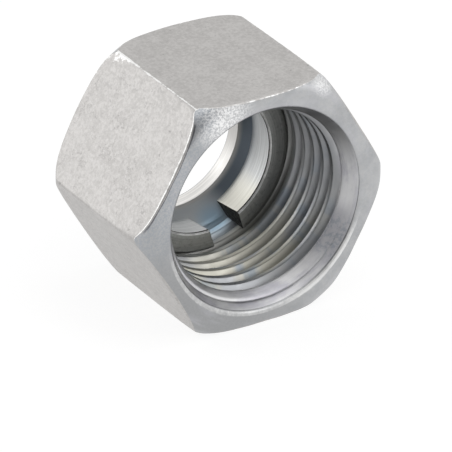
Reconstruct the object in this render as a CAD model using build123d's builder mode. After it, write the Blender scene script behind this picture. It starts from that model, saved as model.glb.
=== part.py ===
"""Swivel nut for a 12 mm tube fitting: a forged hexagon nut with a split retaining ring inside it.

The nut lies on one of its flats, as it comes to rest on a table.
The origin is the middle of that flat, with +Z up. The bore runs along Y, and its threaded mouth faces -Y.
"""
import os
from math import cos, radians, sin, tan

from build123d import *

# Hexagon, in millimetres: its wall from the thread's roots makes it 21.8 across flats, nominal 22
hexagon_wall = 1.69
nut_length = 16.3

# Turned and forged ends of the hexagon, angles in degrees from the end face
mouth_land_width = 0.6
mouth_cone_angle = 7.3
mouth_shoulder_radius = 1.8
collar_land_diameter = 19.6
collar_cone_angle = 27.0
collar_shoulder_chamfer = 0.9

# Stepped bore, from the mouth inwards
thread_bore_diameter = 16.68
countersink_width = 1.26
countersink_half_angle = 30.0
mouth_lip_chamfer = 0.18
thread_depth = 8.9
runout_groove_width = 0.8
runout_groove_height = 0.95
ring_seat_diameter = 16.9
seat_cone_half_angle = 45.0
collar_bore_diameter = 12.5
collar_length = 1.65

# Right-handed M18 x 1.5 thread with sharp roots; its start angle runs clockwise from the top
thread_pitch = 1.5
thread_height = 0.87
thread_flank_angle = 30.0
thread_start_angle = 11.0
thread_start_depth = 0.29
thread_overcut = 0.2

# Split retaining ring, seated on the nut's inner cone
ring_clearance = 0.05
ring_front_setback = 0.08
ring_front_wall = 1.85
ring_back_wall = 1.25
ring_gap_width = 3.1
ring_gap_angle = 163.5

# Places that follow from the sizes above; depths count from the mouth face inwards
thread_root_radius = thread_bore_diameter / 2 + thread_height
across_flats = (thread_root_radius + hexagon_wall) * 2
across_corners = across_flats / cos(radians(30))
axis_height = across_flats / 2
mouth_face_y = -nut_length / 2
countersink_radius = thread_bore_diameter / 2 + countersink_width
countersink_depth = countersink_width / tan(radians(countersink_half_angle))
mouth_land_radius = countersink_radius + mouth_land_width
seat_front_depth = thread_depth + runout_groove_width
seat_cone_end_depth = nut_length - collar_length
seat_slope = tan(radians(seat_cone_half_angle))


def seat_cone_depth(radius):
    """Depth at which the nut's inner cone has this radius."""
    return seat_cone_end_depth - (radius - collar_bore_diameter / 2) / seat_slope


nut_axis = Axis((0, 0, axis_height), (0, 1, 0))
mouth_plane = Plane(origin=(0, mouth_face_y, axis_height), x_dir=(1, 0, 0), z_dir=(0, -1, 0))
profile_plane = Plane(origin=(0, mouth_face_y, axis_height), x_dir=(0, 1, 0), z_dir=(1, 0, 0))
thread_plane = Plane(
    origin=(0, mouth_face_y + thread_start_depth, axis_height),
    x_dir=(sin(radians(thread_start_angle)), 0, cos(radians(thread_start_angle))),
    z_dir=(0, 1, 0),
)

# Thread form swept along its helix: the turns start in the countersink and end in the run-out groove
with BuildPart() as thread_cut:
    with BuildLine() as helix:
        helix_length = thread_depth + runout_groove_width / 3 - thread_start_depth
        Helix(pitch=thread_pitch, height=helix_length, radius=thread_root_radius)
    with BuildSketch(Plane.XZ):
        form_radius = thread_bore_diameter / 2 - thread_overcut
        flank_width = (thread_root_radius - form_radius) * tan(radians(thread_flank_angle))
        with BuildLine():
            Polyline(
                (thread_root_radius, 0),
                (form_radius, flank_width),
                (form_radius, -flank_width),
                close=True,
            )
        make_face()
    sweep(path=helix.line, is_frenet=True)

# Hexagon nut
with BuildPart() as hex_nut:
    # Solid of revolution that rounds the corners of the hexagon off at both ends
    with BuildSketch(profile_plane) as envelope:
        mouth_drop = (across_corners / 2 - mouth_land_radius) * tan(radians(mouth_cone_angle))
        collar_drop = (across_corners - collar_land_diameter) / 2 * tan(radians(collar_cone_angle))
        with BuildLine():
            Polyline(
                (0, 0),
                (0, mouth_land_radius),
                (mouth_drop, across_corners / 2),
                (nut_length - collar_drop, across_corners / 2),
                (nut_length, collar_land_diameter / 2),
                (nut_length, 0),
                close=True,
            )
        make_face()
        corners = envelope.vertices().group_by(Axis.Y)[-1].sort_by(Axis.X)
        fillet(corners[0], radius=mouth_shoulder_radius)
        chamfer(corners[-1], length=collar_shoulder_chamfer)
    revolve(axis=nut_axis)

    # Forged hexagon, one flat down
    with BuildSketch(mouth_plane):
        RegularPolygon(radius=across_flats / 2, side_count=6, major_radius=False)
    extrude(amount=-nut_length, mode=Mode.INTERSECT)

    # Stepped bore: countersink, thread bore, ring seat, inner cone and collar bore
    with BuildSketch(profile_plane):
        with BuildLine():
            Polyline(
                (0, 0),
                (0, countersink_radius),
                (countersink_depth, thread_bore_diameter / 2),
                (seat_front_depth, thread_bore_diameter / 2),
                (seat_front_depth, ring_seat_diameter / 2),
                (seat_cone_depth(ring_seat_diameter / 2), ring_seat_diameter / 2),
                (seat_cone_end_depth, collar_bore_diameter / 2),
                (nut_length, collar_bore_diameter / 2),
                (nut_length, 0),
                close=True,
            )
        make_face()
    revolve(axis=nut_axis, mode=Mode.SUBTRACT)

    # Thread, and then the groove that it runs out into
    with Locations(thread_plane):
        add(thread_cut.part, mode=Mode.SUBTRACT)
    with BuildSketch(profile_plane):
        with Locations((thread_depth, 0)):
            groove_radius = thread_bore_diameter / 2 + runout_groove_height
            Rectangle(runout_groove_width, groove_radius, align=Align.MIN)
    revolve(axis=nut_axis, mode=Mode.SUBTRACT)

    # Broken edge around the mouth
    mouth_edge = hex_nut.faces().sort_by(Axis.Y)[0].inner_wires()[0].edges()
    chamfer(mouth_edge, length=mouth_lip_chamfer)

# Split retaining ring
with BuildPart() as retaining_ring:
    ring_radius = ring_seat_diameter / 2 - ring_clearance
    ring_back_radius = ring_radius - ring_back_wall
    ring_front_depth = seat_front_depth + ring_front_setback
    with BuildSketch(profile_plane):
        with BuildLine():
            Polyline(
                (ring_front_depth, ring_radius - ring_front_wall),
                (ring_front_depth, ring_radius),
                (seat_cone_depth(ring_radius), ring_radius),
                (seat_cone_depth(ring_back_radius), ring_back_radius),
                close=True,
            )
        make_face()
    revolve(axis=nut_axis)

    # Parallel-sided gap that lets the ring spring shut as it is pressed in
    with BuildSketch(mouth_plane):
        with Locations(Rotation(0, 0, -ring_gap_angle)):
            Rectangle(ring_gap_width, ring_radius * 2, align=(Align.CENTER, Align.MIN))
    extrude(amount=-nut_length, mode=Mode.SUBTRACT)

os.makedirs("parts", exist_ok=True)
hex_nut.part.label = "hex_nut"
export_step(hex_nut.part, "parts/hex_nut.step")
retaining_ring.part.label = "retaining_ring"
export_step(retaining_ring.part, "parts/retaining_ring.step")
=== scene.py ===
"""A zinc-plated swivel nut and its split ring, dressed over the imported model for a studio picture.

Lengths are in metres and angles in radians, but patterns and places in the materials are in millimetres.
Angles around the bore start at the top flat and run clockwise as seen from the threaded mouth.
Depths along the bore count from the mouth face.
"""
from functools import cached_property
from math import cos, pi, radians, sin, tan
from typing import NamedTuple

import bmesh
import bpy
import numpy as np
from bpy.props import FloatProperty, FloatVectorProperty, PointerProperty
from mathutils import Matrix, Vector


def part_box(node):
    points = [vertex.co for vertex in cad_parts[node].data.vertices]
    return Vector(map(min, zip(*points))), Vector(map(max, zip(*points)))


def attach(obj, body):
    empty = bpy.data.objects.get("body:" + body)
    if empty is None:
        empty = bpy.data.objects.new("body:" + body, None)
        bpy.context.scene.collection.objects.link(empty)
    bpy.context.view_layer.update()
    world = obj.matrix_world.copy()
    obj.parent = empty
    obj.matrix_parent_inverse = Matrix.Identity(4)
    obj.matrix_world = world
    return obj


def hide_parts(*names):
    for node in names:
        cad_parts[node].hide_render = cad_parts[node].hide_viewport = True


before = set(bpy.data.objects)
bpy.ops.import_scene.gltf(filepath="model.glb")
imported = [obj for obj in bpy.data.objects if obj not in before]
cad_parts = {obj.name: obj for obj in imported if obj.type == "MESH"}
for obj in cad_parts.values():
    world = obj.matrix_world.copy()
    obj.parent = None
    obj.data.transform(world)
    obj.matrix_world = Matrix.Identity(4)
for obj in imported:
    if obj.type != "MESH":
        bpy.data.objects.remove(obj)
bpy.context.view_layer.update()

bl_info = {
    "name": "Swivel Nut",
    "version": (1, 0, 0),
    "blender": (4, 5, 0),
    "location": "3D View > Sidebar > Swivel Nut",
    "description": "Builds a forged swivel nut with its thread and split ring, and a studio stage for it",
    "category": "Add Mesh",
}

MM = 0.001
NUT_LOW, NUT_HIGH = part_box("hex_nut")
AXIS_HEIGHT = (NUT_LOW.z + NUT_HIGH.z) / 2
SIDES = 6
SECTOR = 2 * pi / SIDES
NEARLY_ONE = 0.9999
TINY = 1e-9

# Small roundings and steps of the nut
SMALL_EDGE = 0.06 * MM
FACE_EDGE = 0.3 * MM
SOFT_EDGE = 0.05 * MM
SEAT_STEP = 0.15 * MM
# How quickly the edges between the flats widen towards the mouth and towards the collar
MOUTH_FLARE = 7
COLLAR_FLARE = 4

# Thread form; half the flat at its roots is a share of the pitch
FLANK_ANGLE = radians(30)
HALF_ROOT_FLAT = 1 / 16
CREST_ROUNDING = 0.09 * MM
# The thread's mesh runs from this depth to this far along the inner cone
THREAD_START = 0.85 * MM
THREAD_OVERRUN = 0.75 * MM
# Slopes of the roots where the thread runs in and out, and how far ahead of the cone it runs out
RUN_IN_SLOPE = 4.0
RUN_OUT_SLOPE = 1.6
RUN_OUT_LEAD = 0.2 * MM
# Vertices closer than this to an end of the thread's mesh are merged into that end
THREAD_MERGE = 0.012 * MM

# Line cut around the bore of the ring, behind its rim; its near-black finish is painted shade along that
# edge
RING_LINE_WIDTH = 0.16 * MM
RING_LINE_DEPTH = 0.1 * MM

# Ripples around the nut, as waves and height: two in the rounding of edges, one in the painted highlight of
# the lip and one in the wear of the back edges
COARSE_RIPPLE = (5, 0.3)
FINE_RIPPLE = (23, 0.25)
LIP_RIPPLE = (11, 0.3)
BACK_EDGE_RIPPLE = (7, 0.2)

# Columns of the nut's mesh: on each edge between two flats, beside it in degrees, and on each flat
EDGE_COLUMNS = 7
NEAR_EDGE = (0.25, 0.6, 1.0, 1.5, 2.2)
FLAT_COLUMNS = 38
# Rows of the nut's mesh: steps along an arc, or shares of the way across a surface
LIP_STEPS = 9
FLAT_EDGE_STEPS = 5
MOUTH_STEPS = (0.1, 0.25, 0.4, 0.52, 0.64, 0.74, 0.82, 0.88, 0.92, 0.95, 0.985)
FLAT_STEPS = (0.006, 0.02, 0.05, 0.1, 0.18, 0.28, 0.38, 0.5, 0.62, 0.72, 0.82, 0.9, 0.95, 0.98, 0.994)
COLLAR_STEPS = (0.03, 0.08, 0.15, 0.24, 0.34, 0.45, 0.57, 0.69, 0.81, 0.91, 0.97)
FACE_STEPS = (0.2, 0.5, 0.8, 0.97)
HOLE_STEPS = (0.03, 0.2, 0.4, 0.6, 0.8, 0.97)
CONE_STEPS = (0.05, 0.2, 0.4, 0.6, 0.8)
COUNTERSINK_STEPS = 4
# Rows of one flank of the thread, as shares of its width, and of one crest, as shares of its rounding
FLANK_STEPS = (0.1, 0.25, 0.38, 0.5, 0.65)
CREST_STEPS = (-0.8, -0.35, 0.0, 0.4, 0.9)
# Loops of the ring's mesh around the bore and on each edge of its ends, and longest side between two rows
RING_LOOPS = 240
RING_EDGE_LOOPS = 4
RING_ROW = 0.4 * MM

# Wear is bare metal, or a painted highlight, where it is above zero, and painted shade where it is below
# Edges between the flats, clockwise from the upper right one, and how far their wear reaches past them
CORNER_WEAR = (0.7, 0.55, 0.5, 0.45, 0.1, 0.85)
CORNER_WEAR_REACH = 1.15
# Front edges of the flats, clockwise from the top flat: bare metal with a painted highlight, and the
# painted shade beside them on the mouth's cone
FRONT_EDGE_WEAR_AND_LIGHT = (0.68, 0.4, 0.35, 0.35, 0.1, 0.85)
FRONT_EDGE_SHADE = (0.3, 0.3, 0.25, 0.3, 0.2, 0.65)
PAINTED_SHADE_START = 0.91
SHADE_FREE_CORNER = radians(7)
LEAST_CORNER_SHADE = 0.2
BACK_EDGE_WEAR = 0.4
# How wear and painted light change across the front edge of the top flat and of the others, from the mouth
# inwards; above zero it is bare metal with a painted highlight, below zero painted shade
TOP_EDGE_WEAR_AND_LIGHT = (0.9, 1.0, 0.8, 0.2, -0.5, -0.6)
OTHER_EDGE_WEAR_AND_LIGHT = (-0.6, -0.3, 0.3, 0.9, 1.1, 1.1)
# Painted highlights and painted shade on the lip of the mouth: middle in degrees, narrowness and strength
LIP_HIGHLIGHT = (143, 2.2, 0.8)
LIP_SOFT_HIGHLIGHT = (218, 2.0, 0.42)
# Painted shade in a thin line on the countersink side of the lip
LIP_SHADE = (112, 2.4, 0.5)
LEAST_LIP_SHADE = 0.45
# Worn patch on the upper left flat, by its top corner at the collar: inset, size, overlap and strength
BACK_PATCH_INSET = 2.2 * MM
BACK_PATCH_WIDTH = 1.1 * MM
BACK_PATCH_LENGTH = 2.8 * MM
BACK_PATCH_OVERLAP = 0.1 * MM
BACK_PATCH_PEAK = 1.2
BACK_PATCH_MOST = 0.62

# Middles of patches of finish, in millimetres: three on the mouth's cone and one behind the ring's gap
GRANULAR_PATCH = (-4.3, -8.0, AXIS_HEIGHT / MM + 9.9)
SMUDGE = (-5.8, -7.5, AXIS_HEIGHT / MM + 10.3)
CHIPPED_CORNER = (6.0, -7.7, AXIS_HEIGHT / MM + 10.4)
BLUE_BLOOM = (2.6, 4.6, AXIS_HEIGHT / MM - 7.4)
# Sides of the bore where a finish differs, or where light or shade is painted, in degrees clockwise from
# the top
# Painted shade on the lower left of the mouth
SHADED_MOUTH_SIDE = 215
SPECKLED_MOUTH_SIDE = 295
# Straw bloom gathered on the lower left of the thread, as a painted highlight
STRAW_HIGHLIGHT_THREAD_SIDE = 200
# Painted shade on the upper right of the thread
SHADED_THREAD_SIDE = 50
# Painted shade at the top of the countersink
SHADED_COUNTERSINK_TOP = 5
# Painted shade on the lower right of the countersink
SHADED_COUNTERSINK_SIDE = 122
SPECKLED_COUNTERSINK_SIDE = 124
# Painted light on the bottom of the inner cone
LIT_CONE_SIDE = 178
# Painted shade on the upper right of the collar hole
SHADED_HOLE_SIDE = 60
# Painted highlight in the ring's bore towards its gap
RING_HIGHLIGHT_SIDE = 145
# Where one finish of the bore gives way to the next, in millimetres from the nut's middle
COUNTERSINK_START = (-5.6, -6.3)
# The groove before the ring starts here; its darkening is painted shade
SHADED_GROOVE_START = (0.6, 1.1)
CONE_START = (2.6, 3.6)
HOLE_START = (6.1, 6.5)
# How much closer the turned circles lie along the bore than across a face
FEED_ALONG_BORE = 1.7

# Name, azimuth, elevation, distance, width, height and brightness of each lamp
SOFTBOXES = (
    ("back_left_box", 222, 14, 0.6, 0.45, 0.35, 0.8),
    ("top_box", 60, 75, 0.6, 0.35, 0.35, 0.9),
    ("right_box", 36, 26, 0.6, 0.22, 0.26, 1.7),
)
WHITE = (1.0, 1.0, 1.0, 1.0)
ROOM_LIGHT = 0.55
# Dimmer part of the room, in front of the nut: azimuth and elevation, extent as two cosines, and level
DIM_FRONT = (-34, 14)
DIM_EXTENT = (0.55, 0.93)
DIM_LEVEL = 0.3
FLOOR_WIDTH = 6.0
FLOOR_GLOW = 0.84
FLOOR_SHADOW = 0.3
SENSOR_WIDTH = 36.0
NEAREST_SEEN, FARTHEST_SEEN = 0.05, 20.0


def length(name, description, value):
    """A property for one length of the nut or the stage."""
    return FloatProperty(
        name=name, description=description, default=value, min=0.0, unit="LENGTH", precision=5)


def angle(name, description, degrees):
    """A property for one angle, given in degrees."""
    return FloatProperty(name=name, description=description, default=radians(degrees), subtype="ANGLE")


def colour(name, description, value):
    """A property for one surface colour."""
    return FloatVectorProperty(
        name=name, description=description, default=value, size=3, min=0.0, max=1.0, subtype="COLOR")


class NutSizes(bpy.types.PropertyGroup):
    """Sizes of the nut's outside"""
    across_flats: length("Across flats", "Distance between opposite flats", NUT_HIGH.z - NUT_LOW.z)
    nut_length: length("Length", "Length of the nut along its bore", NUT_HIGH.y - NUT_LOW.y)
    flat_edge_radius: length("Flat edge radius", "Radius of the edges between the flats", 0.25 * MM)
    front_corner_radius: length("Front corner radius", "Radius of those edges at the mouth end", 1.1 * MM)
    back_corner_radius: length("Back corner radius", "Radius of those edges at the collar end", 0.45 * MM)
    end_edge_radius: length("End edge radius", "Radius where the flats meet the turned ends", 0.2 * MM)
    mouth_land_radius: length("Mouth land radius", "Outer radius of the flat land at the mouth", 10.2 * MM)
    mouth_cone_angle: angle("Mouth cone angle", "Slope of the mouth end behind its land", 7.3)
    mouth_shoulder_radius: length("Mouth shoulder", "Radius of the corners at the mouth end", 2.2 * MM)
    collar_land_radius: length("Collar land radius", "Outer radius of the collar's flat face", 9.8 * MM)
    collar_cone_angle: angle("Collar cone angle", "Slope of the collar end outside its face", 27.0)
    collar_shoulder_radius: length("Collar shoulder", "Radius of the corners at the collar end", 2.4 * MM)


class BoreSizes(bpy.types.PropertyGroup):
    """Sizes of the nut's stepped and threaded bore"""
    countersink_radius: length("Countersink radius", "Radius of the countersink at the mouth", 9.6 * MM)
    countersink_angle: angle("Countersink angle", "Half angle of the countersink", 30.0)
    lip_radius: length("Lip radius", "Radius of the rounded lip of the mouth", 0.5 * MM)
    crest_radius: length("Crest radius", "Radius of the thread at its crests", 8.34 * MM)
    root_radius: length("Root radius", "Radius of the thread at its roots", 9.05 * MM)
    pitch: length("Pitch", "Distance from one turn of the thread to the next", 1.5 * MM)
    run_in_depth: length("Run-in depth", "Depth of the first root at the run-in angle", 0.87 * MM)
    run_in_angle: angle("Run-in angle", "Angle around the bore where the thread starts", 150.0)
    seat_depth: length("Seat depth", "Depth where the ring seat starts", 9.7 * MM)
    seat_radius: length("Seat radius", "Radius of the ring seat", 8.45 * MM)
    collar_bore_radius: length("Collar bore radius", "Radius of the hole through the collar", 6.25 * MM)
    collar_length: length("Collar length", "Length of the hole through the collar", 1.65 * MM)
    collar_chamfer: length("Collar chamfer", "Chamfer at the outer edge of the collar hole", 0.25 * MM)


class RingSizes(bpy.types.PropertyGroup):
    """Sizes of the split ring"""
    clearance: length("Clearance", "Radial clearance between the ring and its seat", 0.05 * MM)
    front_depth: length("Front depth", "Depth of the ring's front face", 9.78 * MM)
    front_wall: length("Front wall", "Radial thickness of the ring at its front face", 1.85 * MM)
    back_wall: length("Back wall", "Radial thickness of the ring at its back edge", 1.25 * MM)
    edge_chamfer: length("Edge chamfer", "Chamfer around the ring's front face", 0.14 * MM)
    gap_width: length("Gap width", "Width of the ring's gap", 3.1 * MM)
    gap_angle: angle("Gap angle", "Angle around the bore of the middle of the gap", 163.5)


class MetalLooks(bpy.types.PropertyGroup):
    """Colours of the plating and the steel"""
    forged_pale: colour("Forged, pale", "Plating on raised spots of the flats", (0.545, 0.532, 0.52))
    forged_deep: colour("Forged, deep", "Plating in hollows of the flats", (0.442, 0.43, 0.419))
    turned_pale: colour("Turned, pale", "Plating on the turned surfaces", (0.495, 0.497, 0.50))
    turned_deep: colour("Turned, deep", "Duller patches of the turned surfaces", (0.405, 0.41, 0.417))
    turned_blue: colour("Turned, blue", "Bluish bloom of the plating in the bore", (0.285, 0.33, 0.385))
    # Straw bloom, also used as a painted highlight on the thread and in the ring's bore
    straw_bloom_and_highlight: colour("Turned, straw", "Straw-coloured bloom of the plating", (0.56, 0.54, 0.455))
    # Painted glints: near-white facets on the granular patches
    painted_glint: colour("Sparkle", "Bright facets of the granular patches", (0.95, 0.95, 0.95))
    countersink: colour("Countersink", "Plating on the countersink", (0.77, 0.77, 0.775))
    violet: colour("Violet", "Violet bloom of the plating on the countersink", (0.60, 0.595, 0.64))
    bore: colour("Bore", "Plating on the thread", (0.39, 0.40, 0.415))
    # Painted light on the lower side of the inner cone
    cone_painted_light: colour("Cone, pale", "Paler side of the nut's inner cone", (0.70, 0.73, 0.75))
    bloom_blue: colour("Bloom, blue", "Blue bloom behind the ring's gap", (0.42, 0.62, 0.78))
    collar_hole: colour("Tube hole", "Brushed plating in the hole through the collar", (0.86, 0.845, 0.82))
    # Bare metal on worn edges, also used for painted highlights on the front edges, the lip and the ring's
    # rim
    bare_edge_and_highlight: colour("Worn edge", "Bare bright metal on the edges", (0.92, 0.92, 0.91))
    # Painted shade: the dark colour laid beside the front edges and along the lip
    painted_shade: colour("Grime", "Dark grime along the turned side of the edges", (0.13, 0.13, 0.14))
    ring_dark: colour("Ring, dark", "Dull oxide on the ring's faces", (0.42, 0.425, 0.41))
    ring_bright: colour("Ring, bright", "Ground bore of the ring", (0.625, 0.635, 0.635))


class StageLooks(bpy.types.PropertyGroup):
    """The camera's place and the floor's colour"""
    view_azimuth: angle("View azimuth", "Direction of the camera around the nut", -32.042)
    view_elevation: angle("View elevation", "Height of the camera above the horizon", 28.45)
    view_distance: length("View distance", "Distance from the camera to the nut's mouth", 587.6 * MM)
    focal_length: FloatProperty(
        name="Focal length", description="Focal length of the camera", default=549.2, unit="CAMERA")
    offset_right: length("Offset right", "How far right of the picture's middle the mouth is", 3.5 * MM)
    offset_up: length("Offset up", "How far above the picture's middle the mouth is", 1.339 * MM)
    floor_colour: colour("Floor colour", "Colour of the studio floor", (0.9, 0.9, 0.9))


# Profiles, as pairs of a radius and a depth

OUTWARD = np.array([1.0, 0.0])
DEEPER = np.array([0.0, 1.0])


class Row(NamedTuple):
    """A row around the nut: one (radius, depth) pair, or one per column, with its finish and its wear or
    painted light.
    """
    pairs: np.ndarray
    finish: str
    wear: object = 0.0

    @property
    def radius(self):
        return self.pairs[..., 0]

    @property
    def depth(self):
        return self.pairs[..., 1]


def pair(radius, depth):
    """A radius and a depth side by side, for every column that either of them has."""
    return np.stack(np.broadcast_arrays(radius, depth), axis=-1)


def stretch(start, stop, shares):
    """The values that lie these shares of the way from start to stop."""
    return [start + (stop - start) * share for share in shares]


def unit(ways):
    """The same directions, each with a length of one."""
    return ways / np.linalg.norm(ways, axis=-1, keepdims=True)


def fillet(corner, toward_first, toward_last, radius, steps):
    """Pairs along an arc that rounds a corner of the profile, from its first side to its last."""
    corner = np.asarray(corner, float)
    first, last = (unit(np.broadcast_to(way, corner.shape)) for way in (toward_first, toward_last))
    opening = np.arccos(np.clip((first * last).sum(-1, keepdims=True), -NEARLY_ONE, NEARLY_ONE))
    reach = radius / np.tan(opening / 2)
    centre = corner + unit(first + last) * radius / np.sin(opening / 2)
    from_first = corner + first * reach - centre
    from_last = corner + last * reach - centre
    turn = pi - opening
    arc = []
    for step in np.linspace(0, 1, steps + 1):
        blended = np.sin((1 - step) * turn) * from_first + np.sin(step * turn) * from_last
        arc.append(centre + blended / np.sin(turn))
    return arc


def soft_max(first, second, width):
    """The larger of two lengths, blended over a small width where they meet."""
    return (first + second + np.sqrt((first - second) ** 2 + width ** 2)) / 2


def soft_min(first, second, width):
    """The smaller of two lengths, blended over a small width where they meet."""
    return -soft_max(-first, -second, width)


def ripple(angles, waves, height):
    """A seeded ripple around the bore, up and down by about this height."""
    random = np.random.default_rng(waves)
    parts = []
    for more in range(4):
        size, start = random.uniform(0.5, 1), random.uniform(0, 2 * pi)
        parts.append(size * np.sin(angles * (waves + more) + start))
    return height * (sum(parts) / 3.2)


def patch(angles, middle, narrowness, most):
    """A patch on one side of the bore, strongest at its middle, which is given in degrees."""
    return np.clip(3 * np.cos(angles - radians(middle)) - narrowness, 0, most)


# Outside of the nut

def corner_distance(sizes):
    """Distance from the bore's axis to the sharp corners of the hexagon."""
    return sizes.across_flats / 2 / cos(SECTOR / 2)


def corner_arc(sizes, edge):
    """Distance from the axis to the centre of a corner's arc, and half the angle that the arc takes up."""
    centre = (sizes.across_flats / 2 - edge) / cos(SECTOR / 2)
    half_angle = np.arctan2(edge * sin(SECTOR / 2), centre + edge * cos(SECTOR / 2))
    return centre, half_angle


def from_corner(angles):
    """Angle of each column from the nearest corner of the hexagon, negative before it."""
    return angles % SECTOR - SECTOR / 2


def nearest_flat(angles):
    """Number of the flat that each column is on, clockwise from the top flat."""
    return np.floor(angles / SECTOR + 0.5).astype(int) % SIDES


def hexagon_radius(sizes, angles, edge):
    """Radius of the hexagon at each column, with its corners rounded."""
    centre, half_angle = corner_arc(sizes, edge)
    turn = from_corner(angles)
    flat = sizes.across_flats / 2 / np.cos(SECTOR / 2 - np.abs(turn))
    rounded = centre * np.cos(turn) + np.sqrt(np.maximum(edge ** 2 - (centre * np.sin(turn)) ** 2, 0))
    return np.where(np.abs(turn) < half_angle + TINY, rounded, flat)


def hexagon_columns(sizes):
    """Angles around the bore of the mesh's columns, closer together at the hexagon's corners."""
    edge = sizes.flat_edge_radius
    centre, half_angle = corner_arc(sizes, edge)
    on_arc = np.linspace(-SECTOR / 2, SECTOR / 2, EDGE_COLUMNS)
    edge_angles = np.arctan2(edge * np.sin(on_arc), centre + edge * np.cos(on_arc))
    near = half_angle + np.radians(NEAR_EDGE)
    middle = np.linspace(near[-1], SECTOR - near[-1], FLAT_COLUMNS)[1:-1]
    columns = np.concatenate([edge_angles, near, middle, SECTOR - near[::-1]])
    return np.concatenate([(side + 0.5) * SECTOR + columns for side in range(SIDES)])


def turned_end(sizes, end, radius):
    """Depth from the mouth or collar end, and slope, at each radius: a land, a cone and a shoulder."""
    land = getattr(sizes, f"{end}_land_radius")
    cone_angle = getattr(sizes, f"{end}_cone_angle")
    shoulder = getattr(sizes, f"{end}_shoulder_radius")
    rise = tan(cone_angle)
    centre = corner_distance(sizes) - shoulder
    tangent = centre + shoulder * sin(cone_angle)
    centre_depth = (tangent - land) * rise + shoulder * cos(cone_angle)
    across = np.clip(radius - centre, 0, shoulder * NEARLY_ONE)
    drop = np.sqrt(shoulder ** 2 - across ** 2)
    on_arc = radius > tangent
    on_cone = radius > land
    depth = np.where(on_arc, centre_depth - drop, np.where(on_cone, (radius - land) * rise, 0.0))
    slope = np.where(on_arc, across / drop, np.where(on_cone, rise, 0.0))
    return depth, slope


def lip_rows(bore, angles):
    """The rounded lip of the mouth, with painted highlights on two sides and painted shade along the
    countersink.
    """
    into_bore = (-sin(bore.countersink_angle), cos(bore.countersink_angle))
    arc = fillet((bore.countersink_radius, 0.0), into_bore, OUTWARD, bore.lip_radius, LIP_STEPS)
    # Painted highlights on two sides of the lip, in the bright colour of bare metal
    highlight = patch(angles, *LIP_HIGHLIGHT) * (1 + ripple(angles, *LIP_RIPPLE))
    highlight = np.maximum(highlight, patch(angles, *LIP_SOFT_HIGHLIGHT))
    # Painted shade in a thin dark line where the lip meets the countersink
    painted_shade = LEAST_LIP_SHADE + patch(angles, *LIP_SHADE)
    wear = [0.0, -painted_shade, 0.0] + [highlight] * (LIP_STEPS - 2)
    return [Row(pairs, "turned", worn_or_painted_light) for pairs, worn_or_painted_light in zip(arc, wear)]


def mouth_rows(sizes, angles, start, stop):
    """The turned land and cone at the mouth, with painted shade where they come to the flats."""
    # Painted shade along the outer rows of the mouth, weaker near the corners
    beside_corner = np.clip(np.abs(from_corner(angles)) / SHADE_FREE_CORNER, LEAST_CORNER_SHADE, 1)
    painted_shade = np.array(FRONT_EDGE_SHADE)[nearest_flat(angles)] * beside_corner
    rows = []
    for share, radius in zip(MOUTH_STEPS, stretch(start, stop, MOUTH_STEPS)):
        depth, _ = turned_end(sizes, "mouth", radius)
        rows.append(Row(pair(radius, depth), "turned", -painted_shade * (share > PAINTED_SHADE_START)))
    return rows


def front_edge_rows(sizes, angles, rounding):
    """The curved edges between the flats and the mouth end."""
    radius = hexagon_radius(sizes, angles, sizes.front_corner_radius)
    depth, slope = turned_end(sizes, "mouth", radius)
    arc = fillet(pair(radius, depth), pair(-1.0, -slope), DEEPER, rounding, FLAT_EDGE_STEPS)
    flat = nearest_flat(angles)
    # Bare metal with a painted highlight along the front edges, and painted shade where the values drop
    # below zero
    worn_or_painted_light = np.array(FRONT_EDGE_WEAR_AND_LIGHT)[flat]
    rows = []
    for pairs, on_top, elsewhere in zip(arc, TOP_EDGE_WEAR_AND_LIGHT, OTHER_EDGE_WEAR_AND_LIGHT):
        rows.append(Row(pairs, "forged", worn_or_painted_light * np.where(flat == 0, on_top, elsewhere)))
    return rows


def flat_rows(sizes, angles, start, stop):
    """The six forged flats, with the edges between them, which widen towards both ends."""
    rows = []
    for share, depth in zip(FLAT_STEPS, stretch(start, stop, FLAT_STEPS)):
        edge = sizes.flat_edge_radius
        edge += (1 - share) ** MOUTH_FLARE * (sizes.front_corner_radius - sizes.flat_edge_radius)
        edge += share ** COLLAR_FLARE * (sizes.back_corner_radius - sizes.flat_edge_radius)
        rows.append(Row(pair(hexagon_radius(sizes, angles, edge), depth), "forged"))
    return rows


def back_edge_rows(sizes, angles, rounding):
    """The curved edges between the flats and the collar end."""
    radius = hexagon_radius(sizes, angles, sizes.back_corner_radius)
    depth, slope = turned_end(sizes, "collar", radius)
    corner = pair(radius, sizes.nut_length - depth)
    worn_or_painted_light = BACK_EDGE_WEAR + ripple(angles, *BACK_EDGE_RIPPLE)
    arc = fillet(corner, -DEEPER, pair(-1.0, slope), rounding, FLAT_EDGE_STEPS)
    return [Row(pairs, "forged", worn_or_painted_light) for pairs in arc]


def collar_rows(sizes, bore, start):
    """The turned shoulder, cone and face of the collar, and the chamfer of its hole."""
    end = sizes.nut_length
    hole = bore.collar_bore_radius
    chamfer = bore.collar_chamfer
    up_cone = (cos(sizes.collar_cone_angle), -sin(sizes.collar_cone_angle))
    face_edge = fillet((sizes.collar_land_radius, end), up_cone, -OUTWARD, FACE_EDGE, 4)
    chamfer_start = fillet((hole + chamfer, end), OUTWARD, (-1, -1), SMALL_EDGE, 2)
    chamfer_end = fillet((hole, end - chamfer), (1, 1), -DEEPER, SMALL_EDGE, 2)
    cone = []
    for radius in stretch(start, face_edge[0][0], COLLAR_STEPS):
        depth, _ = turned_end(sizes, "collar", radius)
        cone.append(pair(radius, end - depth))
    face = [pair(radius, end) for radius in stretch(face_edge[-1][0], chamfer_start[0][0], FACE_STEPS)]
    return [Row(pairs, "turned") for pairs in cone + face_edge + face + chamfer_start + chamfer_end]


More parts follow.
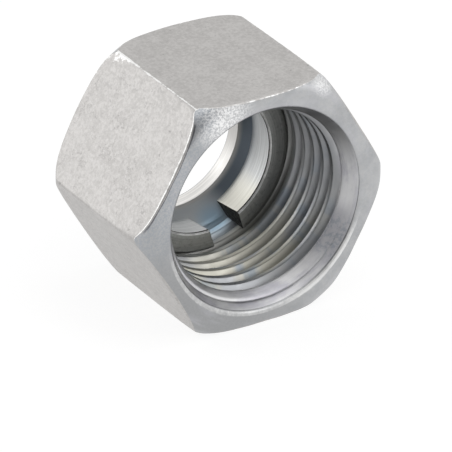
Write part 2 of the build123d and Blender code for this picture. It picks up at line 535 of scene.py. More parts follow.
def hole_rows(sizes, bore, start):
    """The hole through the collar, from its chamfer to the inner cone."""
    hole = bore.collar_bore_radius
    inner_edge = fillet((hole, sizes.nut_length - bore.collar_length), DEEPER, (1, -1), SMALL_EDGE, 3)
    wall = [pair(hole, depth) for depth in stretch(start, inner_edge[0][1], HOLE_STEPS)]
    return [Row(pairs, "bore") for pairs in wall + inner_edge]


def cone_rows(sizes, bore, angles, start):
    """The cone that the ring seats on, up to the end of the thread's mesh."""
    stop = thread_end(sizes, bore)
    rows = []
    for depth in stretch(start, stop, CONE_STEPS):
        rows.append(Row(pair(seat_cone(sizes, bore, depth), depth), "bore"))
    return rows + [level_row(sizes, bore, angles, stop)]


def outside_rows(sizes, bore, angles):
    """All rows of the nut from the mouth's lip, over the flats and the collar, to the inner cone."""
    uneven = 1 + ripple(angles, *COARSE_RIPPLE) + ripple(angles, *FINE_RIPPLE)
    rounding = sizes.end_edge_radius * uneven[:, None]
    lip = lip_rows(bore, angles)
    front_edge = front_edge_rows(sizes, angles, rounding)
    back_edge = back_edge_rows(sizes, angles, rounding)
    mouth = mouth_rows(sizes, angles, lip[-1].radius, front_edge[0].radius)
    flats = flat_rows(sizes, angles, front_edge[-1].depth, back_edge[0].depth)
    collar = collar_rows(sizes, bore, back_edge[-1].radius)
    hole = hole_rows(sizes, bore, collar[-1].depth)
    cone = cone_rows(sizes, bore, angles, hole[-1].depth)
    return lip + mouth + front_edge + flats + back_edge + collar + hole + cone


# Bore and thread

def seat_cone(sizes, bore, known):
    """Radius of the 45 degree cone behind the ring at a depth, or its depth at a radius."""
    return sizes.nut_length - bore.collar_length + bore.collar_bore_radius - known


def thread_end(sizes, bore):
    """Depth on the inner cone where the thread's mesh ends."""
    return seat_cone(sizes, bore, bore.seat_radius) + THREAD_OVERRUN


def plain_bore(sizes, bore, depth):
    """Radius of the bore at each depth, without its thread."""
    countersink = bore.countersink_radius - depth * tan(bore.countersink_angle)
    into_seat = np.clip((depth - bore.seat_depth) / SEAT_STEP, 0, 1)
    wall = bore.crest_radius + (bore.seat_radius - bore.crest_radius) * into_seat
    return soft_min(soft_max(countersink, wall, SOFT_EDGE), seat_cone(sizes, bore, depth), SOFT_EDGE)


def threaded_bore(sizes, bore, depth, offset):
    """Radius of the threaded bore at each depth; offset is the distance along it from the nearest root."""
    run_out = seat_cone(sizes, bore, bore.seat_radius) - RUN_OUT_LEAD
    root = bore.root_radius - RUN_OUT_SLOPE * np.maximum(depth - run_out, 0)
    root = root - RUN_IN_SLOPE * np.maximum(bore.run_in_depth - depth, 0)
    up_flank = soft_max(np.abs(offset) - bore.pitch * HALF_ROOT_FLAT, 0, SOFT_EDGE)
    return soft_max(plain_bore(sizes, bore, depth), root - up_flank / tan(FLANK_ANGLE), CREST_ROUNDING)


def climb(bore, turn):
    """How far the thread moves along the bore over an angle around it."""
    return bore.pitch * turn / (2 * pi)


def level_row(sizes, bore, angles, depth):
    """A row of the threaded bore that stays at one depth."""
    root = bore.run_in_depth + climb(bore, angles - bore.run_in_angle)
    offset = (depth - root + bore.pitch / 2) % bore.pitch - bore.pitch / 2
    return Row(pair(threaded_bore(sizes, bore, depth, offset), depth), "bore")


def turn_offsets(bore):
    """Distances from a root at which the mesh follows one turn of the thread."""
    flat = bore.pitch * HALF_ROOT_FLAT
    crest = flat + (bore.root_radius - bore.crest_radius) * tan(FLANK_ANGLE)
    near = [flat / 2, flat] + stretch(flat, crest, FLANK_STEPS)
    near += [crest + CREST_ROUNDING * step for step in CREST_STEPS]
    return [-offset for offset in reversed(near)] + [0.0] + near + [bore.pitch / 2]


# Meshes

def place(sizes, angles, pairs):
    """Coordinates of pairs of a radius and a depth, at angles around the bore."""
    radius, depth = pairs[..., 0], pairs[..., 1]
    across = radius * np.sin(angles)
    along = depth - sizes.nut_length / 2
    height = AXIS_HEIGHT + radius * np.cos(angles)
    return np.stack(np.broadcast_arrays(across, along, height), axis=-1)


def band(lower, upper, finishes):
    """Faces between two closed rows of vertices, each with its finish."""
    quads = zip(lower, np.roll(lower, -1), np.roll(upper, -1), upper)
    return list(zip(quads, finishes))


def thread_mesh(sizes, bore, angles, start_ids, stop_ids, next_id):
    """Vertices and faces of the threaded bore, whose rows follow the helix and end on two level rows."""
    start, stop = THREAD_START, thread_end(sizes, bore)
    offsets = np.array(turn_offsets(bore))
    per_turn = len(offsets)
    turns = np.arange(-2, int((stop - start) / bore.pitch) + 3)
    first_root = bore.run_in_depth + climb(bore, angles[0] - bore.run_in_angle)
    first_column = (first_root + turns[:, None] * bore.pitch + offsets).ravel()
    depth = first_column + climb(bore, angles - angles[0])[:, None]

    # Vertices beyond an end of the thread give way to those of the level row there
    before, after = depth < start + THREAD_MERGE, depth > stop - THREAD_MERGE
    inner = ~(before | after)
    ids = np.empty(depth.shape, int)
    ids[inner] = next_id + np.arange(inner.sum())
    ids[before] = np.broadcast_to(start_ids[:, None], depth.shape)[before]
    ids[after] = np.broadcast_to(stop_ids[:, None], depth.shape)[after]

    # The last column meets the first one a turn further on
    following = np.roll(ids, -1, axis=0)
    following[-1] = np.concatenate([ids[0, per_turn:], np.full(per_turn, stop_ids[0])])
    radius = threaded_bore(sizes, bore, depth, np.tile(offsets, len(turns)))
    points = place(sizes, angles[:, None], pair(radius, depth))[inner]
    sides = (ids[:, :-1], following[:, :-1], following[:, 1:], ids[:, 1:])
    quads = zip(*(side.ravel() for side in sides))
    corners = [tuple(dict.fromkeys(quad)) for quad in quads]
    return points, [(face, "bore") for face in corners if len(face) > 2]


def corner_wear(sizes, angles):
    """How worn the edges between the flats are, at each column."""
    _, half_angle = corner_arc(sizes, sizes.flat_edge_radius)
    on_edge = np.clip(CORNER_WEAR_REACH - np.abs(from_corner(angles)) / half_angle, 0, 1)
    return on_edge * np.array(CORNER_WEAR)[(angles / SECTOR).astype(int) % SIDES]


def back_patch(sizes, angles, depth):
    """Extra wear on the upper left flat, close to its top corner at the collar."""
    top_corner = (SIDES - 0.5) * SECTOR
    across = (top_corner - angles) * corner_distance(sizes)
    along = sizes.nut_length - BACK_PATCH_INSET - depth
    away = np.hypot(across / BACK_PATCH_WIDTH, along / BACK_PATCH_LENGTH)
    return np.clip(BACK_PATCH_PEAK - away, 0, BACK_PATCH_MOST) * (across > -BACK_PATCH_OVERLAP)


def new_piece(name, points, faces, finishes, wear=None):
    """A smooth closed mesh object; finishes gives the material of each finish."""
    materials = list(dict.fromkeys(finishes.values()))
    slots = {finish: materials.index(material) for finish, material in finishes.items()}
    mesh = bpy.data.meshes.new(name)
    mesh.from_pydata(points.tolist(), [], [[int(corner) for corner in corners] for corners, _ in faces])
    for material in materials:
        mesh.materials.append(material)
    mesh.polygons.foreach_set("material_index", [slots[finish] for _, finish in faces])
    if wear is not None:
        mesh.attributes.new("wear", "FLOAT", "POINT").data.foreach_set("value", wear)
    shape = bmesh.new()
    shape.from_mesh(mesh)
    bmesh.ops.recalc_face_normals(shape, faces=shape.faces)
    shape.to_mesh(mesh)
    shape.free()
    mesh.shade_smooth()
    if mesh.validate():
        raise RuntimeError(f"the mesh of {name} has faces or edges that Blender had to drop")
    piece = bpy.data.objects.new(name, mesh)
    bpy.context.scene.collection.objects.link(piece)
    return piece


def build_nut_mesh(sizes, bore, finishes):
    """The hexagon nut with its thread."""
    angles = hexagon_columns(sizes)
    count = len(angles)
    outside = outside_rows(sizes, bore, angles)
    depths = np.linspace(THREAD_START, outside[0].depth, COUNTERSINK_STEPS + 1)[:-1]
    countersink = [level_row(sizes, bore, angles, depth) for depth in depths]
    on_corner = corner_wear(sizes, angles)
    points, wear, ids = [], [], []
    for row in outside + countersink:
        worn_or_painted_light = np.broadcast_to(row.wear, count)
        if row.finish == "forged":
            worn_or_painted_light = np.maximum(worn_or_painted_light, on_corner + back_patch(sizes, angles, row.depth))
        ids.append(np.arange(count) + len(points) * count)
        points.append(place(sizes, angles, row.pairs))
        wear.append(worn_or_painted_light)
    outside_ids, countersink_ids = ids[:len(outside)], ids[len(outside):]
    faces = []
    for row, lower, upper in zip(outside, outside_ids, outside_ids[1:]):
        faces += band(lower, upper, [row.finish] * count)
    thread_points, thread_faces = thread_mesh(
        sizes, bore, angles, countersink_ids[0], outside_ids[-1], len(points) * count)
    faces += thread_faces
    for lower, upper in zip(countersink_ids, countersink_ids[1:] + [outside_ids[0]]):
        faces += band(lower, upper, ["bore"] * count)
    points.append(thread_points)
    wear.append(np.zeros(len(thread_points)))
    return new_piece("nut_body", np.concatenate(points), faces, finishes, np.concatenate(wear))


def ring_section(sizes, bore, ring):
    """The outline of the ring's section as pairs, and the finish of the side after each of them."""
    outer = bore.seat_radius - ring.clearance
    back = outer - ring.back_wall
    inner = outer - ring.front_wall
    front = ring.front_depth
    rim = front + ring.edge_chamfer
    line = inner + RING_LINE_DEPTH
    # Radius, depth, finish of the side that follows and rounding in millimetres of each corner
    corners = (
        (inner + ring.edge_chamfer, front, "face", 0.02),
        (outer - ring.edge_chamfer, front, "face", 0.03),
        (outer, rim, "face", 0.03),
        (outer, seat_cone(sizes, bore, outer), "face", 0.05),
        (back, seat_cone(sizes, bore, back), "bore", 0.05),
        # The line behind the rim takes the near-black end finish, as painted shade
        (inner, rim + RING_LINE_WIDTH, "end", 0.01),
        (line, rim + RING_LINE_WIDTH * 0.75, "end", 0.01),
        (line, rim + RING_LINE_WIDTH * 0.375, "end", 0.01),
        # The rim's chamfer takes a bright finish, as a painted highlight
        (inner, rim, "rim", 0.01),
    )
    places = np.array([corner[:2] for corner in corners])
    outline, finishes = [], []
    for k, (_, _, finish, rounding) in enumerate(corners):
        before, after = places[k - 1] - places[k], places[(k + 1) % len(places)] - places[k]
        outline += fillet(places[k], before, after, rounding * MM, 3)
        finishes += [corners[k - 1][2], finish, finish, finish]
    return outline, finishes


def divide_sides(outline, finishes):
    """The same outline with more rows along its long sides, so that shading stays even."""
    rows, row_finishes = [], []
    for start, stop, finish in zip(outline, outline[1:] + outline[:1], finishes):
        parts = max(1, int(np.linalg.norm(stop - start) / RING_ROW))
        rows += stretch(start, stop, [part / parts for part in range(parts)])
        row_finishes += [finish] * parts
    return np.array(rows), row_finishes


def ring_loops(ring, section):
    """Every loop of the ring, from end to end, as angles from the middle of its gap and a section."""
    along = unit(np.roll(section, -1, axis=0) - np.roll(section, 1, axis=0))
    outward = np.stack([along[:, 1], -along[:, 0]], axis=-1)
    first_end = []
    for turn in np.linspace(0, pi / 2, RING_EDGE_LOOPS):
        from_end, inset = SMALL_EDGE * (1 - cos(turn)), SMALL_EDGE * (1 - sin(turn))
        shrunk = section - outward * inset
        first_end.append((np.arcsin((ring.gap_width / 2 + from_end) / shrunk[:, 0]), shrunk))
    start = first_end[-1][0]
    middle = stretch(start, 2 * pi - start, np.linspace(0, 1, RING_LOOPS)[1:-1])
    last_end = [(2 * pi - angles, shrunk) for angles, shrunk in reversed(first_end)]
    return first_end + [(angles, section) for angles in middle] + last_end


def build_ring_mesh(sizes, bore, ring, finishes):
    """The split ring, with a parallel-sided gap and broken edges."""
    section, section_finishes = divide_sides(*ring_section(sizes, bore, ring))
    count = len(section)
    points, ids = [], []
    for angles, pairs in ring_loops(ring, section):
        ids.append(np.arange(count) + len(points) * count)
        points.append(place(sizes, ring.gap_angle + angles, pairs))
    faces = []
    for lower, upper in zip(ids, ids[1:]):
        faces += band(lower, upper, section_finishes)
    faces += [(tuple(ids[0]), "end"), (tuple(ids[-1]), "end")]
    return new_piece("split_ring", np.concatenate(points), faces, finishes)


# Shader nodes

def shade(tint, level):
    """A colour made darker or lighter."""
    return tuple(level * part for part in tint)


def rgba(tint):
    """A plain colour with its alpha, or another node's output as it is."""
    return tint if isinstance(tint, bpy.types.NodeSocket) else (*tint, 1.0)


class Nodes:
    """Adds shader nodes to a tree; a value is a plain number or colour, or another node's output."""

    def __init__(self, tree):
        self.tree = tree

    def set_inputs(self, made, inputs):
        """Sets or links the inputs of a node."""
        for key, value in inputs.items():
            if isinstance(value, bpy.types.NodeSocket):
                self.tree.links.new(value, made.inputs[key])
            else:
                made.inputs[key].default_value = value

    def add(self, kind, inputs=None, **settings):
        """The outputs of a new node."""
        made = self.tree.nodes.new(kind)
        for name, value in settings.items():
            setattr(made, name, value)
        self.set_inputs(made, inputs or {})
        return made.outputs

    def math(self, operation, first, second=0.0):
        """The output of one Math node."""
        return self.add("ShaderNodeMath", {0: first, 1: second}, operation=operation)[0]

    def vector_math(self, operation, first, second=(0.0, 0.0, 0.0)):
        """The output of one Vector Math node, a number where the operation gives one."""
        outputs = self.add("ShaderNodeVectorMath", {0: first, 1: second}, operation=operation)
        return outputs["Value" if operation in ("DISTANCE", "LENGTH", "DOT_PRODUCT") else "Vector"]

    def scaled(self, value, factor, start=0.0):
        """A value times a factor, on top of a start."""
        return self.math("ADD", self.math("MULTIPLY", value, factor), start)

    def eased(self, value, low, high, to_low=0.0, to_high=1.0):
        """A value eased from one range into another."""
        inputs = {"Value": value, "From Min": low, "From Max": high, "To Min": to_low, "To Max": to_high}
        return self.add("ShaderNodeMapRange", inputs, interpolation_type="SMOOTHSTEP")[0]

    def layers(self, base, *coats):
        """A base colour under coats, one after another; each is a colour and how much of it shows."""
        result = rgba(base)
        for tint, amount in coats:
            mix = {0: amount, 6: result, 7: rgba(tint)}
            result = self.add("ShaderNodeMix", mix, data_type="RGBA")[2]
        return result

    def backdrop_rays(self):
        """One for rays that should see the pale backdrop: from the camera, off metal or through glass."""
        path = self.add("ShaderNodeLightPath")
        seen = self.math("MAXIMUM", path["Is Camera Ray"], path["Is Glossy Ray"])
        return self.math("MAXIMUM", seen, path["Is Transmission Ray"])


class Metal(Nodes):
    """A metal material in the making, with patterns that follow the nut and its bore."""

    def __init__(self, name):
        self.material = bpy.data.materials.new(name)
        self.material.use_nodes = True
        super().__init__(self.material.node_tree)

    @cached_property
    def spot(self):
        """The place of each spot in the object, in millimetres."""
        where = self.add("ShaderNodeTexCoord")["Object"]
        return self.vector_math("MULTIPLY", where, (1 / MM, 1 / MM, 1 / MM))

    @cached_property
    def along(self):
        """How far each spot is from the nut's middle, along the bore."""
        return self.add("ShaderNodeSeparateXYZ", {0: self.spot})[1]

    @cached_property
    def from_axis(self):
        """The way from the bore's axis out to each spot."""
        centred = self.vector_math("SUBTRACT", self.spot, (0.0, 0.0, AXIS_HEIGHT / MM))
        return self.vector_math("MULTIPLY", centred, (1.0, 0.0, 1.0))

    def noise(self, scale, detail=3.0, rough=0.5, where=None):
        """A noise pattern; the scale is in waves per millimetre."""
        where = self.spot if where is None else where
        inputs = {"Vector": where, "Scale": scale, "Detail": detail, "Roughness": rough}
        return self.add("ShaderNodeTexNoise", inputs)["Fac"]

    def circles(self, around, along, scale=1.0, detail=3.0, rough=0.5):
        """Noise drawn out in circles around the bore: slow around it and fast along it."""
        sideways = self.add("ShaderNodeSeparateXYZ", {0: self.vector_math("NORMALIZE", self.from_axis)})
        radius = self.vector_math("LENGTH", self.from_axis)
        lengthwise = self.math("MULTIPLY", self.along, FEED_ALONG_BORE * along)
        run = self.math("ADD", lengthwise, self.math("MULTIPLY", radius, along))
        turned = {
            0: self.math("MULTIPLY", sideways[0], around),
            1: self.math("MULTIPLY", sideways[2], around),
            2: run,
        }
        return self.noise(scale, detail, rough, self.add("ShaderNodeCombineXYZ", turned)[0])

    def side(self, degrees, start, full, most=1.0, least=0.0):
        """How much of a coat shows on one side of the bore: 1 is that side and -1 the opposite one."""
        towards = (sin(radians(degrees)), 0.0, cos(radians(degrees)))
        facing = self.vector_math("DOT_PRODUCT", self.vector_math("NORMALIZE", self.from_axis), towards)
        return self.eased(facing, start, full, least, most)

    def near(self, middle, close, far, most, least=0.0):
        """How much of a coat shows near a place: most of it when close, and least when far."""
        return self.eased(self.vector_math("DISTANCE", self.spot, middle), close, far, most, least)

    def worn_or_painted_light(self, plating, looks, spread, low, high):
        """The plating with bare worn edges and painted highlights, painted shade where the wear is below
        zero, and how bare or highlighted each spot is.
        """
        wear = self.add("ShaderNodeAttribute", attribute_name="wear")["Fac"]
        uneven = self.math("SUBTRACT", self.noise(2.0, detail=5.0, rough=0.7), 0.5)
        wear = self.scaled(uneven, spread, wear)
        bare_or_highlight = self.eased(wear, low, high)
        # Painted shade where the wear drops below zero
        darkened = self.eased(wear, -0.25, -0.65, 0.0, 0.85)
        return self.layers(plating, (looks.bare_edge_and_highlight, bare_or_highlight), (looks.painted_shade, darkened)), bare_or_highlight

    def finish(self, tint, roughness, relief=(), metallic=1.0, specular=0.5):
        """The finished material; each layer of relief is a height and its depth in millimetres."""
        inputs = {"Base Color": tint, "Roughness": roughness, "Metallic": metallic}
        inputs["Specular IOR Level"] = specular
        for height, depth in relief:
            bump = {"Height": height, "Distance": depth * MM, "Strength": 1.0}
            if "Normal" in inputs:
                bump["Normal"] = inputs["Normal"]
            inputs["Normal"] = self.add("ShaderNodeBump", bump)[0]
        self.set_inputs(self.tree.nodes["Principled BSDF"], inputs)
        return self.material


# Materials of the nut

def forged_plating(looks):
    """Matte zinc over the forged flats, mottled, creased and finely pitted."""
    metal = Metal("forged_plating")
    drawn = metal.vector_math("MULTIPLY", metal.spot, (1.0, 0.4, 1.0))
    streaks = metal.scaled(metal.noise(1.4, detail=4.0, rough=0.65, where=drawn), 0.2)
    patches = metal.scaled(metal.noise(0.35, detail=5.0, rough=0.65), 0.15, streaks)
    grain = metal.scaled(metal.noise(3.2, detail=6.0, rough=0.8), 0.65, patches)
    folds = metal.math("ABSOLUTE", metal.math("SUBTRACT", metal.noise(0.8, detail=5.0, rough=0.6), 0.5))
    folded = metal.eased(metal.noise(0.5, rough=0.6), 0.46, 0.6)
    creases = metal.math("MULTIPLY", metal.eased(folds, 0.0, 0.014, 0.2, 0.0), folded)
    pits = metal.eased(metal.noise(1.7, detail=5.0, rough=0.55), 0.27, 0.33, 0.5, 0.0)
    plating = metal.layers(
        looks.forged_deep,
        (looks.forged_pale, metal.eased(grain, 0.41, 0.59)),
        (shade(looks.forged_deep, 0.5), metal.math("MAXIMUM", creases, pits)),
    )
    plating, bare_or_highlight = metal.worn_or_painted_light(plating, looks, 2.0, 0.5, 0.9)
    relief = [
        (metal.noise(1.1, detail=4.0, rough=0.6, where=drawn), 0.022),
        (metal.noise(4.5, detail=4.0, rough=0.6), 0.013),
        (creases, 0.03),
    ]
    return metal.finish(plating, metal.scaled(bare_or_highlight, -0.14, 0.46), relief, metal.scaled(bare_or_highlight, -0.25, 1.0))


def turned_plating(looks):
    """Satin zinc over the turned mouth and collar, with faint circles, granular patches with painted
    glints, and painted shade on one side.
    """
    metal = Metal("turned_plating")
    grain = metal.noise(6.0, rough=0.65)
    granular = metal.near(GRANULAR_PATCH, 0.5, 3.6, 1.0, 0.05)
    rugged = metal.math("MAXIMUM", granular, metal.near(CHIPPED_CORNER, 0.3, 1.7, 0.7))
    speckled = metal.side(SPECKLED_MOUTH_SIDE, 0.7, 1.0, 0.4)
    flecks = metal.eased(metal.noise(3.4, detail=4.0, rough=0.65), 0.35, 0.65, 0.0, 0.14)
    bloom = metal.eased(metal.circles(1.2, 0.6, detail=5.0, rough=0.65), 0.5, 0.65, 0.0, 0.3)
    plating = metal.layers(
        looks.turned_deep,
        (looks.turned_pale, metal.eased(metal.noise(0.45, detail=7.0, rough=0.7), 0.32, 0.68)),
        (looks.turned_blue, flecks),
        # Painted shade on the lower left side of the mouth
        (shade(looks.turned_deep, 0.8), metal.side(SHADED_MOUTH_SIDE, 0.3, 1.0, 0.95)),
        (shade(looks.violet, 0.87), bloom),
        (looks.turned_blue, metal.near(SMUDGE, 0.5, 1.7, 0.6)),
        (looks.turned_blue, metal.math("MULTIPLY", speckled, metal.eased(grain, 0.42, 0.58, 1.0, 0.0))),
        # Painted glints on the granular patch and the chipped corner
        (looks.painted_glint, metal.math("MULTIPLY", rugged, metal.eased(grain, 0.4, 0.6, 0.3, 1.0))),
    )
    plating, bare_or_highlight = metal.worn_or_painted_light(plating, looks, 0.7, 0.1, 0.9)
    uneven = metal.math("MULTIPLY", grain, metal.math("MAXIMUM", rugged, speckled))
    relief = [(metal.circles(0.6, 6.0), 0.005), (uneven, 0.045)]
    return metal.finish(plating, 0.36, relief, metal.scaled(bare_or_highlight, -0.5, 1.0))


def thread_colour(metal, looks):
    """Zinc on the thread, with a bluish bloom, a straw bloom gathered on the lower left as a painted
    highlight, and painted shade on one side.
    """
    warm = metal.eased(metal.circles(1.4, 0.5, 0.9), 0.42, 0.58)
    # Straw bloom, strongest on the lower left, where it stands for a painted highlight
    straw_and_highlight = metal.math("MULTIPLY", warm, metal.side(STRAW_HIGHLIGHT_THREAD_SIDE, -0.1, 0.8, 0.75, 0.15))
    bluish = metal.eased(metal.circles(2.2, 0.6, 1.1, detail=4.0, rough=0.6), 0.52, 0.68, 0.0, 0.8)
    return metal.layers(
        looks.bore,
        (looks.straw_bloom_and_highlight, straw_and_highlight),
        (looks.turned_blue, bluish),
        # Painted shade on the upper right side of the thread
        (shade(looks.bore, 0.55), metal.side(SHADED_THREAD_SIDE, 0.0, 0.9, 0.8)),
    )


def countersink_colour(metal, looks):
    """Paler zinc on the countersink, with a violet bloom and fine turned streaks, and painted shade at the
    top and lower right.
    """
    specks = metal.eased(metal.noise(2.5, detail=4.0, rough=0.7), 0.45, 0.6)
    speckled = metal.side(SPECKLED_COUNTERSINK_SIDE, 0.96, 1.0, 0.5)
    streaks = metal.eased(metal.circles(1.5, 4.0, detail=4.0, rough=0.7), 0.5, 0.7, 0.0, 0.3)
    return metal.layers(
        looks.countersink,
        (looks.violet, metal.eased(metal.circles(1.6, 0.4, detail=5.0, rough=0.65), 0.42, 0.62)),
        # Painted shade on the lower right and at the top of the countersink
        (shade(looks.violet, 0.72), metal.side(SHADED_COUNTERSINK_SIDE, 0.93, 0.995, 0.55)),
        (shade(looks.countersink, 0.33), metal.side(SHADED_COUNTERSINK_TOP, 0.2, 0.85, 0.9)),
        (shade(looks.violet, 0.6), streaks),
        (looks.turned_blue, metal.math("MULTIPLY", speckled, specks)),
    )


def cone_colour(metal, looks):
    """Bluish zinc on the inner cone, with painted light at the bottom and blue behind the ring's gap."""
    return metal.layers(
        shade(looks.turned_blue, 0.8),
        # Painted light on the bottom of the inner cone
        (looks.cone_painted_light, metal.side(LIT_CONE_SIDE, 0.8, 0.98)),
        (looks.bloom_blue, metal.near(BLUE_BLOOM, 0.3, 2.2, 0.8)),
    )


def hole_colour(metal, looks):
    """Brushed zinc in the hole through the collar, with painted shade on one side."""
    return metal.layers(
        shade(looks.collar_hole, 0.8),
        (looks.collar_hole, metal.eased(metal.circles(0.9, 4.0, detail=4.0, rough=0.65), 0.35, 0.65)),
        # Painted shade on the upper right side of the hole
        (shade(looks.collar_hole, 0.5), metal.side(SHADED_HOLE_SIDE, 0.0, 0.9, 0.7)),
    )


def bore_plating(looks):
    """Glossier zinc in the bore: thread, countersink, the groove before the ring darkened as painted shade,
    inner cone and collar hole.
    """
    metal = Metal("bore_plating")
    countersunk = metal.eased(metal.along, *COUNTERSINK_START)
    plating = metal.layers(
        thread_colour(metal, looks),
        (countersink_colour(metal, looks), countersunk),
        # Painted shade in the groove before the ring
        (shade(looks.ring_dark, 0.57), metal.eased(metal.along, *SHADED_GROOVE_START, 0.0, 0.75)),
        (cone_colour(metal, looks), metal.eased(metal.along, *CONE_START)),
        (hole_colour(metal, looks), metal.eased(metal.along, *HOLE_START)),
    )
    roughness = metal.scaled(countersunk, 0.05, metal.eased(metal.noise(0.8), 0.3, 0.7, 0.37, 0.44))
    relief = [(metal.circles(0.8, 7.0, detail=2.0), 0.003), (metal.noise(1.2, detail=2.0), 0.004)]
    return metal.finish(plating, roughness, relief)


# Materials of the ring

def ring_oxide(looks):
    """Dull dark oxide on the ring's face and outside."""
    metal = Metal("ring_oxide")
    marks = metal.circles(0.6, 6.0)
    stains = metal.eased(metal.noise(4.0, detail=4.0, rough=0.7), 0.5, 0.65, 0.0, 0.35)
    oxide = metal.layers(
        looks.ring_dark,
        (shade(looks.ring_dark, 1.25), metal.eased(marks, 0.35, 0.65)),
        (shade(looks.ring_dark, 0.5), stains),
    )
    return metal.finish(oxide, 0.45, [(marks, 0.008), (metal.noise(6.0, rough=0.6), 0.004)])


def ring_sheared(looks):
    """Sheared steel on the two ends of the ring and in the line around its bore, made near-black as painted
    shade.
    """
    metal = Metal("ring_sheared")
    tone = metal.eased(metal.noise(3.5, detail=5.0, rough=0.7), 0.4, 0.62)
    # Near-black colour: painted shade on the ends and in the line
    steel = metal.layers(shade(looks.ring_dark, 0.08), (shade(looks.ring_dark, 0.26), tone))
    return metal.finish(steel, 0.75, [(metal.noise(5.0, rough=0.6), 0.01)], metallic=0.0, specular=0.2)


def ring_edge(looks):
    """Broken edge around the front of the ring's bore, made bright as a painted highlight."""
    metal = Metal("ring_edge")
    tone = metal.eased(metal.noise(0.9, detail=4.0, rough=0.6), 0.3, 0.7)
    # Near-white colour standing in for the chamfer's highlight
    steel = metal.layers(shade(looks.bare_edge_and_highlight, 0.7), (shade(looks.bare_edge_and_highlight, 1.05), tone))
    return metal.finish(steel, 0.6)


def ring_ground(looks):
    """Bright bore of the ring, ground in circles, with a painted straw highlight towards its gap."""
    metal = Metal("ring_ground")
    marks = metal.circles(0.9, 5.0, detail=4.0, rough=0.6)
    ground = metal.layers(
        shade(looks.ring_bright, 0.72),
        (looks.ring_bright, metal.eased(marks, 0.35, 0.65)),
        # Painted straw highlight on the side towards the gap
        (shade(looks.straw_bloom_and_highlight, 1.5), metal.side(RING_HIGHLIGHT_SIDE, 0.88, 1.0, 0.5)),
    )
    return metal.finish(ground, 0.42, [(marks, 0.006)])


# Stage

def direction(azimuth, elevation):
    """Unit vector from the nut towards a place around it; azimuth 0 is in front of the mouth."""
    return Vector((sin(azimuth) * cos(elevation), -cos(azimuth) * cos(elevation), sin(elevation)))


def build_floor(looks):
    """A wide pale floor that keeps a soft shadow."""
    paint = looks.floor_colour
    half = FLOOR_WIDTH / 2
    corners = [(-half, -half, 0), (half, -half, 0), (half, half, 0), (-half, half, 0)]
    mesh = bpy.data.meshes.new("studio_floor")
    mesh.from_pydata(corners, [], [(0, 1, 2, 3)])
    material = bpy.data.materials.new("pale_floor")
    material.use_nodes = True
    material.node_tree.nodes.clear()
    nodes = Nodes(material.node_tree)
    matte = nodes.add("ShaderNodeBsdfDiffuse", {"Color": rgba(paint)})[0]
    dimmed = nodes.add("ShaderNodeBsdfDiffuse", {"Color": rgba(shade(paint, FLOOR_SHADOW))})[0]
    glow = nodes.add("ShaderNodeEmission", {"Color": WHITE, "Strength": FLOOR_GLOW})[0]
    lifted = nodes.add("ShaderNodeAddShader", {0: dimmed, 1: glow})[0]
    surface = nodes.add("ShaderNodeMixShader", {0: nodes.backdrop_rays(), 1: matte, 2: lifted})[0]
    nodes.add("ShaderNodeOutputMaterial", {"Surface": surface})
    mesh.materials.append(material)
    floor = bpy.data.objects.new("studio_floor", mesh)
    bpy.context.scene.collection.objects.link(floor)


def build_world():
    """Even studio light and a white backdrop, which is dimmer where metal mirrors the front of the room."""
    world = bpy.data.worlds.new("studio")
    world.use_nodes = True
    world.node_tree.nodes.clear()
    nodes = Nodes(world.node_tree)
    room = nodes.add("ShaderNodeBackground", {"Color": WHITE, "Strength": ROOM_LIGHT})[0]
    front = tuple(direction(*map(radians, DIM_FRONT)))
    in_front = nodes.vector_math("DOT_PRODUCT", nodes.add("ShaderNodeTexCoord")["Generated"], front)
    mirrored = nodes.eased(in_front, *DIM_EXTENT, 1.0, DIM_LEVEL)
    level = nodes.math("MAXIMUM", mirrored, nodes.add("ShaderNodeLightPath")["Is Camera Ray"])
    backdrop = nodes.add("ShaderNodeBackground", {"Color": WHITE, "Strength": level})[0]
    surface = nodes.add("ShaderNodeMixShader", {0: nodes.backdrop_rays(), 1: room, 2: backdrop})[0]
    nodes.add("ShaderNodeOutputWorld", {"Surface": surface})
    bpy.context.scene.world = world


def add_softbox(name, azimuth, elevation, distance, width, height, brightness):
    """A soft lamp aimed at the nut, with the brightness that its face shows."""
    towards = direction(radians(azimuth), radians(elevation))
    lamp = bpy.data.lights.new(name, "AREA")
    lamp.shape = "RECTANGLE"
    lamp.size, lamp.size_y = width, height
    lamp.energy = brightness * pi * width * height
    holder = bpy.data.objects.new(name, lamp)
    holder.location = towards * distance + Vector((0, 0, AXIS_HEIGHT))
    holder.rotation_euler = towards.to_track_quat("Z", "Y").to_euler()
    bpy.context.scene.collection.objects.link(holder)


def add_camera(looks, sizes):
    """The camera at the picture's viewing angle."""
    back = direction(looks.view_azimuth, looks.view_elevation)
    right = Vector((cos(looks.view_azimuth), sin(looks.view_azimuth), 0.0))
    up = back.cross(right)
    lens = bpy.data.cameras.new("studio_camera")
    lens.lens = looks.focal_length
    lens.sensor_width = SENSOR_WIDTH
    lens.clip_start, lens.clip_end = NEAREST_SEEN, FARTHEST_SEEN
    camera = bpy.data.objects.new("studio_camera", lens)
    mouth = Vector((0, -sizes.nut_length / 2, AXIS_HEIGHT))
    stand = mouth + back * looks.view_distance - right * looks.offset_right - up * looks.offset_up
    camera.matrix_world = Matrix.Translation(stand) @ Matrix((right, up, back)).transposed().to_4x4()
    bpy.context.scene.collection.objects.link(camera)
    bpy.context.scene.camera = camera


# Operators and panel

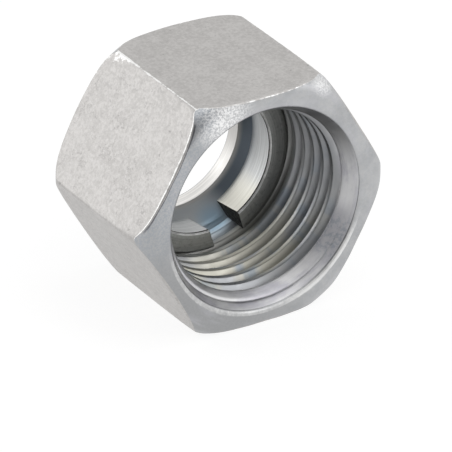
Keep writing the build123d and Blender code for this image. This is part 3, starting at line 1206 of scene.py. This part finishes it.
class SWIVELNUT_OT_nut(bpy.types.Operator):
    """Build the forged nut with its thread"""
    bl_idname = "swivel_nut.nut"
    bl_label = "Build the nut"

    def execute(self, context):
        scene = context.scene
        looks = scene.nut_looks
        finishes = {
            "forged": forged_plating(looks),
            "turned": turned_plating(looks),
            "bore": bore_plating(looks),
        }
        piece = build_nut_mesh(scene.nut_sizes, scene.nut_bore, finishes)
        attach(piece, "root")
        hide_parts("hex_nut")
        return {"FINISHED"}


class SWIVELNUT_OT_ring(bpy.types.Operator):
    """Build the split ring inside the nut"""
    bl_idname = "swivel_nut.ring"
    bl_label = "Build the ring"

    def execute(self, context):
        scene = context.scene
        looks = scene.nut_looks
        finishes = {
            "face": ring_oxide(looks),
            "bore": ring_ground(looks),
            "end": ring_sheared(looks),
            "rim": ring_edge(looks),
        }
        piece = build_ring_mesh(scene.nut_sizes, scene.nut_bore, scene.nut_ring, finishes)
        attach(piece, "root")
        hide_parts("retaining_ring")
        return {"FINISHED"}


class SWIVELNUT_OT_stage(bpy.types.Operator):
    """Build the floor, the lamps and the camera"""
    bl_idname = "swivel_nut.stage"
    bl_label = "Build the stage"

    def execute(self, context):
        scene = context.scene
        scene.view_settings.view_transform = "Standard"
        build_world()
        build_floor(scene.nut_stage)
        for softbox in SOFTBOXES:
            add_softbox(*softbox)
        add_camera(scene.nut_stage, scene.nut_sizes)
        if scene.camera is None:
            raise RuntimeError("the stage has no camera")
        return {"FINISHED"}


class SWIVELNUT_PT_panel(bpy.types.Panel):
    """Sizes, colours and build steps of the swivel nut"""
    bl_idname = "SWIVELNUT_PT_panel"
    bl_label = "Swivel Nut"
    bl_space_type = "VIEW_3D"
    bl_region_type = "UI"
    bl_category = "Swivel Nut"

    def draw(self, context):
        for operator in OPERATORS:
            self.layout.operator(operator.bl_idname)
        for name in PROPERTY_GROUPS:
            group = getattr(context.scene, name)
            column = self.layout.column()
            column.label(text=name.replace("_", " ").capitalize())
            for key in group.bl_rna.properties.keys():
                if key not in ("rna_type", "name"):
                    column.prop(group, key)


PROPERTY_GROUPS = {
    "nut_sizes": NutSizes,
    "nut_bore": BoreSizes,
    "nut_ring": RingSizes,
    "nut_looks": MetalLooks,
    "nut_stage": StageLooks,
}
OPERATORS = (SWIVELNUT_OT_nut, SWIVELNUT_OT_ring, SWIVELNUT_OT_stage)


def register():
    for name, group in PROPERTY_GROUPS.items():
        bpy.utils.register_class(group)
        setattr(bpy.types.Scene, name, PointerProperty(type=group))
    for item in (*OPERATORS, SWIVELNUT_PT_panel):
        bpy.utils.register_class(item)


def unregister():
    for item in (SWIVELNUT_PT_panel, *reversed(OPERATORS)):
        bpy.utils.unregister_class(item)
    for name, group in PROPERTY_GROUPS.items():
        delattr(bpy.types.Scene, name)
        bpy.utils.unregister_class(group)


def main():
    register()
    bpy.ops.swivel_nut.nut()
    bpy.ops.swivel_nut.ring()
    bpy.ops.swivel_nut.stage()


if __name__ == "__main__":
    main()
